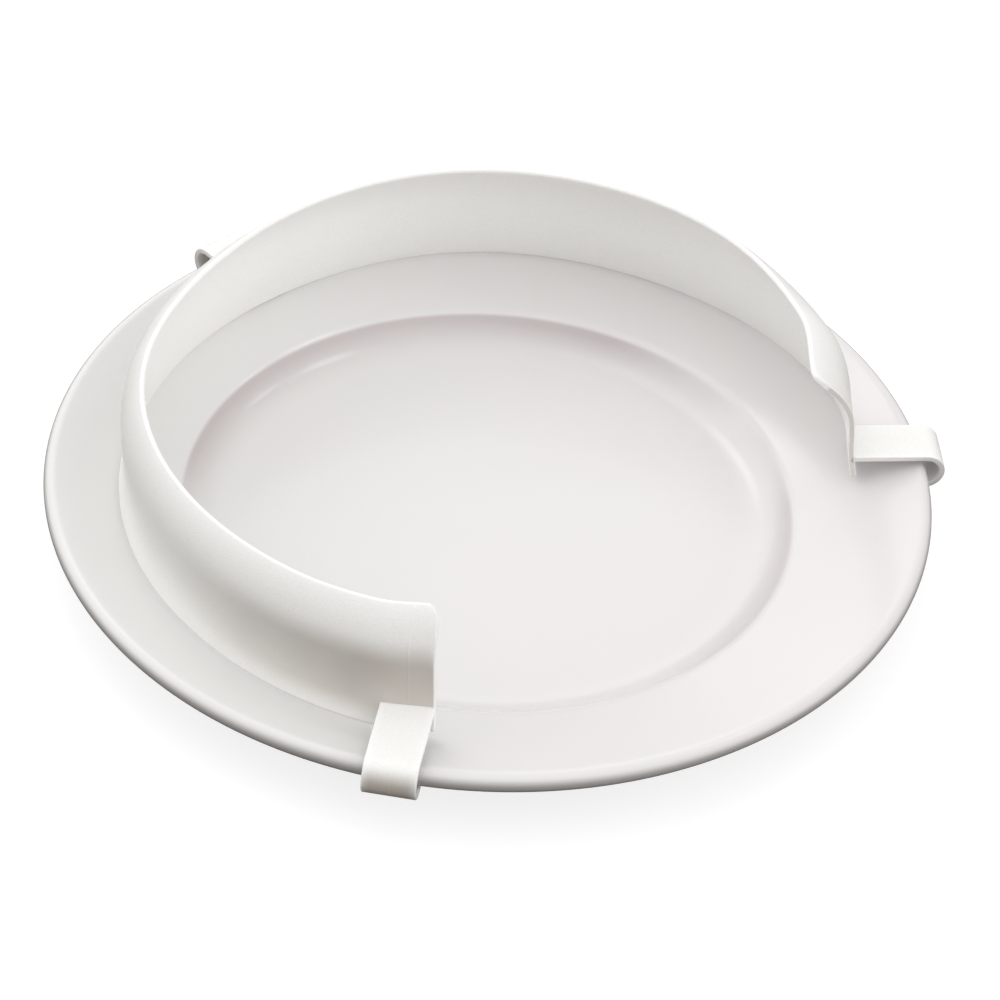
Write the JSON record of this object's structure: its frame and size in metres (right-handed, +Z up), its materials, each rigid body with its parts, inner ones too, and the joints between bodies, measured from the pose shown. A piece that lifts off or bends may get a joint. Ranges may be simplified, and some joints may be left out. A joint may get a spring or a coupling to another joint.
{
  "type": "dinner plate with plate guard",
  "caption": "Round rimmed dinner plate with a clip-on plate guard, a low wall round part of the rim that stops food sliding off the plate.",
  "frame": {"origin": "centre of the plate's foot ring, on the surface that the plate stands on", "axes": "+Z up along the plate's axis; the guard is open towards +X and -Y, with its rear clip near azimuth 133 degrees"},
  "size_m": [0.2584, 0.2586, 0.058],
  "materials": {
    "china": "clear gloss glaze on white china",
    "white_plastic": "fine satin moulded polypropylene"
  },
  "bodies": {
    "plate": {"plate": "china"},
    "rear_hook": {"rear_hook": "white_plastic"},
    "guard": {"guard_wall": "white_plastic", "front_strap": "white_plastic", "right_strap": "white_plastic", "rear_strap": "white_plastic"},
    "front_hook": {"front_hook": "white_plastic"},
    "right_hook": {"right_hook": "white_plastic"}
  },
  "joints": [
    {"name": "guard_turn", "type": "hinge", "parent": "plate", "child": "rear_hook", "pos_m": [0, 0, 0.02215], "axis": [0, 0, 1], "continuous": true},
    {"name": "guard_tilt", "type": "hinge", "parent": "rear_hook", "child": "guard", "pos_m": [-0.08499, 0.09372, 0.02805], "axis": [-0.729, -0.6845, 0], "range_deg": [0, 30]},
    {"name": "front_hook_flex", "type": "hinge", "parent": "guard", "child": "front_hook", "pos_m": [-0.01984, -0.125, 0.02805], "axis": [-0.9921, 0.1257, 0], "range_deg": [0, 30], "stiffness_Nm_per_rad": 0.3},
    {"name": "right_hook_flex", "type": "hinge", "parent": "guard", "child": "right_hook", "pos_m": [0.12483, 0.02153, 0.02805], "axis": [0.1184, -0.993, 0], "range_deg": [0, 30], "stiffness_Nm_per_rad": 0.3}
  ]
}
